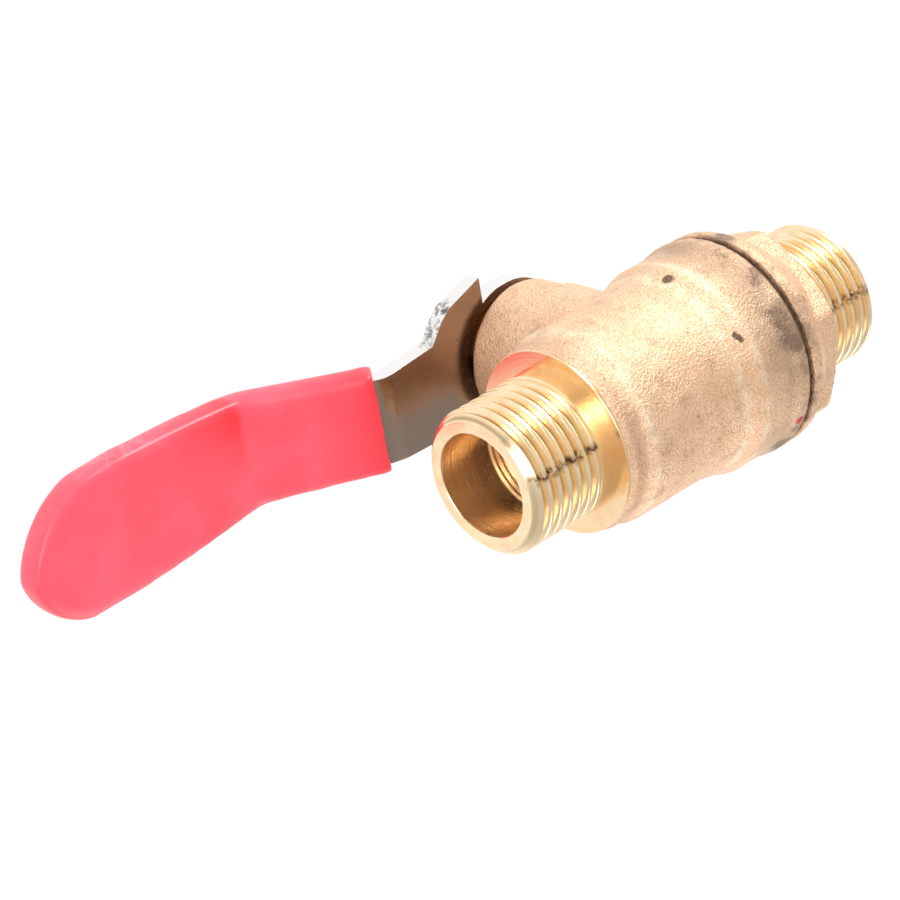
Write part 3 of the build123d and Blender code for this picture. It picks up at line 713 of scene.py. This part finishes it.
cut_start = 9.3
cut_core = 7.1
front_cut = turned_solid("front cut", [(cut_start, 0), (cut_start, cut_core), (19.4, cut_core),
                                       (19.4, 20), (40, 20), (40, 0)])
body_casting = sand_cast("valve_body", "body_casting", front_cut)
finish_piece(body_casting, "casing", cast_brass, 60, ["valve_body"])
rear_cut = turned_solid("rear cut", [(-cut_start, 0), (-cut_start, cut_core), (-22.8, cut_core),
                                     (-22.8, 20), (-40, 20), (-40, 0)])
cap_casting = sand_cast("end_cap", "cap_casting", rear_cut)
finish_piece(cap_casting, "casing", cast_brass, 60, ["end_cap"])

# %% [markdown]
# The stem ends in an M6 thread that the lever nut holds on to. It is the same
# helical tooth at 1 mm pitch, wound along x and then stood upright.

# %% Stem with its M6 end
plain_top = 31.3
stem_shoulder = 31.2
stem_chamfer = 36.3
stem_top = 37.5
stem_pitch = 1.0
stem_major = 3.0
stem_thread_depth = 0.61
stem = copy_of("stem", "threaded_stem")
cut_length = 10
bpy.ops.mesh.primitive_cylinder_add(radius=4.5 * MM, depth=cut_length * MM,
                                    location=(0, 0, (plain_top + cut_length / 2) * MM))
combine(stem, bpy.context.object, "DIFFERENCE")
stem_end = threaded_rod("stem_end", stem_pitch, stem_major, stem_thread_depth, stem_shoulder, stem_top, 48)
stem_blank = [(30, 0), (30, 4), (stem_chamfer, 4), (stem_top, 2.45), (stem_top, 0)]
combine(stem_end, turned_solid("limit", stem_blank, 48), "INTERSECT")
pick(stem_end)
bpy.ops.transform.rotate(value=math.pi / 2, orient_axis="Y", center_override=(0, 0, 0))
bpy.ops.object.transform_apply(location=False, rotation=True, scale=False)
print("stem end stands from", min(vertex.co.z for vertex in stem_end.data.vertices) / MM)
combine(stem, stem_end, "UNION")
finish_piece(stem, "lever_group", stem_brass, 25, ["stem"])

# %% [markdown]
# The lever is pressed from sheet. A press rolls the edge over on one side and
# tears it on the other, so both edges are a little round. A bevel on the sharp
# edges of the CAD copy does that, once its flat faces are single faces again.

# %% Pressed lever and nut
def soften_edges(node_name, name, width_mm, segments):
    """A copy of a CAD node with its sharp edges rounded."""
    piece = copy_of(node_name, name)
    bpy.ops.object.mode_set(mode="EDIT")
    bpy.ops.mesh.select_all(action="SELECT")
    bpy.ops.mesh.dissolve_limited(angle_limit=math.radians(0.5))
    bpy.ops.object.mode_set(mode="OBJECT")
    modify(piece, "BEVEL", width=width_mm * MM, segments=segments, limit_method="ANGLE",
           angle_limit=math.radians(40))
    return piece


pressed_lever = soften_edges("lever", "pressed_lever", 0.28, 3)
finish_piece(pressed_lever, "lever_group", plated_steel, 35, ["lever"])
plated_nut = soften_edges("lever_nut", "plated_nut", 0.12, 2)
finish_piece(plated_nut, "lever_group", plated_steel, 35, ["lever_nut"])

# %% [markdown]
# Liquid vinyl draws itself round before it cures, so the dipped grip has no edge
# at all. The CAD sleeve is remeshed and smoothed until it flows, a little less at
# its open end, which stays crisper. Bevels would leave the flats between them flat.

# %% Dipped grip
grip = copy_of("lever_sleeve", "dipped_grip")
modify(grip, "REMESH", mode="VOXEL", voxel_size=0.36 * MM)
lip_place = Vector((26.2, 0, 26.9)) * MM
lip_run = 3 * MM
lip_share = 0.60
crank_angle = math.radians(37)
uphill = Vector((math.cos(crank_angle), 0, math.sin(crank_angle)))
flow = grip.vertex_groups.new(name="flow")
for vertex in grip.data.vertices:
    from_lip = (vertex.co - lip_place).dot(uphill)
    flow.add([vertex.index], min(1.0, max(lip_share, from_lip / lip_run)), "REPLACE")
modify(grip, "SMOOTH", factor=0.5, iterations=140, vertex_group="flow")
finish_piece(grip, "lever_group", red_vinyl, 180, ["lever_sleeve"])
